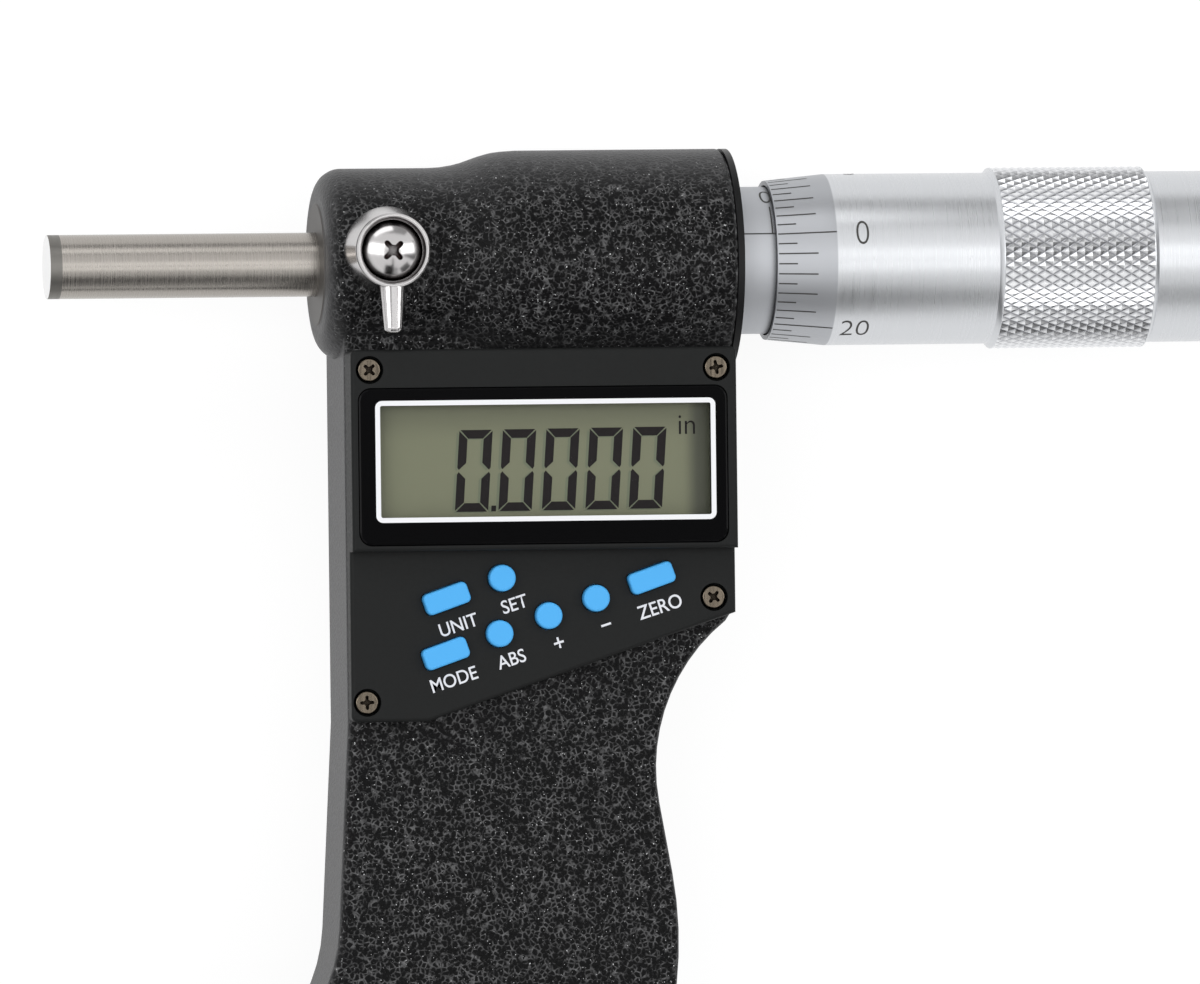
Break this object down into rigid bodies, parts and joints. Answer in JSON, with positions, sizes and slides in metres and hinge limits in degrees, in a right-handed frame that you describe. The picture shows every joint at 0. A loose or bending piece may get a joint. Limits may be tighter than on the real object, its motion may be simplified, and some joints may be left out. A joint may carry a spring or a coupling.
{
  "type": "digital outside micrometer",
  "caption": "Digital outside micrometer with a wide C frame, carbide faces, screw spindle with ratchet thimble, clamp lever, display and keypad.",
  "frame": {"origin": "centre of the anvil's measuring face", "axes": "+X along the spindle axis from the anvil towards the thimble, +Z out of the display, the bow hangs down towards -Y"},
  "size_m": [0.3099, 0.1277, 0.0249],
  "materials": {
    "casting_enamel": "black hammertone enamel with fine grey webs on cast iron",
    "ground_steel": "hardened steel, ground round",
    "carbide": "lapped tungsten carbide",
    "machined_steel": "turned steel",
    "spring_steel": "bright spring steel",
    "black_ring": "black plastic ring",
    "satin_chrome": "satin chrome with fine turning marks",
    "polished_chrome": "polished chrome plate",
    "circuit_laminate": "green glass-epoxy board",
    "turned_brass": "turned brass",
    "housing_plastic": "fine-grained black moulded plastic",
    "seal_rubber": "black rubber",
    "window_acrylic": "clear acrylic, printed black round the display",
    "display_panel": "olive grey liquid crystal panel",
    "chip_plastic": "black moulding compound",
    "flex_film": "amber film",
    "key_plastic": "light blue satin plastic",
    "nickel_screw": "darkened nickel plate",
    "battery_steel": "nickel-plated can"
  },
  "bodies": {
    "frame": {"frame": "casting_enamel", "anvil": "ground_steel", "anvil_tip": "carbide", "nose_bush": "ground_steel", "end_ring": "black_ring", "inner_barrel": "machined_steel", "sleeve": "satin_chrome", "adjusting_nut": "machined_steel", "encoder_stator": "circuit_laminate", "rotor_spring": "spring_steel", "front_cover": "housing_plastic", "cover_gasket": "seal_rubber", "display_window": "window_acrylic", "lcd_glass": "display_panel", "zebra_strips": "seal_rubber", "circuit_board": "circuit_laminate", "driver_chip": "chip_plastic", "flex_cable": "flex_film", "flex_connector": "chip_plastic", "switch_domes": "spring_steel", "cover_screws": "nickel_screw", "lock_pad": "turned_brass", "battery": "battery_steel", "battery_contact": "spring_steel", "battery_seal": "seal_rubber"},
    "encoder": {"encoder_rotor": "circuit_laminate", "rotor_bush": "turned_brass", "rotor_key": "machined_steel"},
    "spindle": {"spindle": "ground_steel", "spindle_tip": "carbide", "thimble": "satin_chrome", "ratchet_base": "satin_chrome", "ratchet_screw": "machined_steel"},
    "ratchet": {"ratchet_cap": "satin_chrome", "ratchet_spring": "spring_steel"},
    "lock": {"lock_lever": "polished_chrome", "lock_screw": "polished_chrome", "lock_stud": "machined_steel"},
    "unit_key": {"unit_button": "key_plastic"},
    "mode_key": {"mode_button": "key_plastic"},
    "set_key": {"set_button": "key_plastic"},
    "abs_key": {"abs_button": "key_plastic"},
    "plus_key": {"plus_button": "key_plastic"},
    "minus_key": {"minus_button": "key_plastic"},
    "zero_key": {"zero_button": "key_plastic"},
    "battery_door": {"battery_cap": "housing_plastic"}
  },
  "joints": [
    {"name": "thimble_turn", "type": "hinge", "parent": "frame", "child": "encoder", "pos_m": [0.18, 0, 0], "axis": [1, 0, 0], "range_deg": [0, 14400]},
    {"name": "spindle_travel", "type": "slide", "parent": "encoder", "child": "spindle", "axis": [1, 0, 0], "range_m": [0, 0.0254]},
    {"name": "ratchet_turn", "type": "hinge", "parent": "spindle", "child": "ratchet", "pos_m": [0.255, 0, 0], "axis": [1, 0, 0], "continuous": true},
    {"name": "lock_turn", "type": "hinge", "parent": "frame", "child": "lock", "pos_m": [0.1605, 0.0012, 0.0094], "axis": [0, 0, 1], "range_deg": [-60, 0]},
    {"name": "unit_press", "type": "slide", "parent": "frame", "child": "unit_key", "axis": [0, 0, -1], "range_m": [0, 0.0006], "stiffness_N_per_m": 500},
    {"name": "mode_press", "type": "slide", "parent": "frame", "child": "mode_key", "axis": [0, 0, -1], "range_m": [0, 0.0006], "stiffness_N_per_m": 500},
    {"name": "set_press", "type": "slide", "parent": "frame", "child": "set_key", "axis": [0, 0, -1], "range_m": [0, 0.0006], "stiffness_N_per_m": 500},
    {"name": "abs_press", "type": "slide", "parent": "frame", "child": "abs_key", "axis": [0, 0, -1], "range_m": [0, 0.0006], "stiffness_N_per_m": 500},
    {"name": "plus_press", "type": "slide", "parent": "frame", "child": "plus_key", "axis": [0, 0, -1], "range_m": [0, 0.0006], "stiffness_N_per_m": 500},
    {"name": "minus_press", "type": "slide", "parent": "frame", "child": "minus_key", "axis": [0, 0, -1], "range_m": [0, 0.0006], "stiffness_N_per_m": 500},
    {"name": "zero_press", "type": "slide", "parent": "frame", "child": "zero_key", "axis": [0, 0, -1], "range_m": [0, 0.0006], "stiffness_N_per_m": 500},
    {"name": "battery_cap_turn", "type": "hinge", "parent": "frame", "child": "battery_door", "pos_m": [0.17615, -0.0265, -0.0064], "axis": [0, 0, 1], "range_deg": [0, 90]}
  ],
  "couplings": [
    {"joint": "thimble_turn", "follows": "spindle_travel", "rad_per_m": 9894.8}
  ]
}
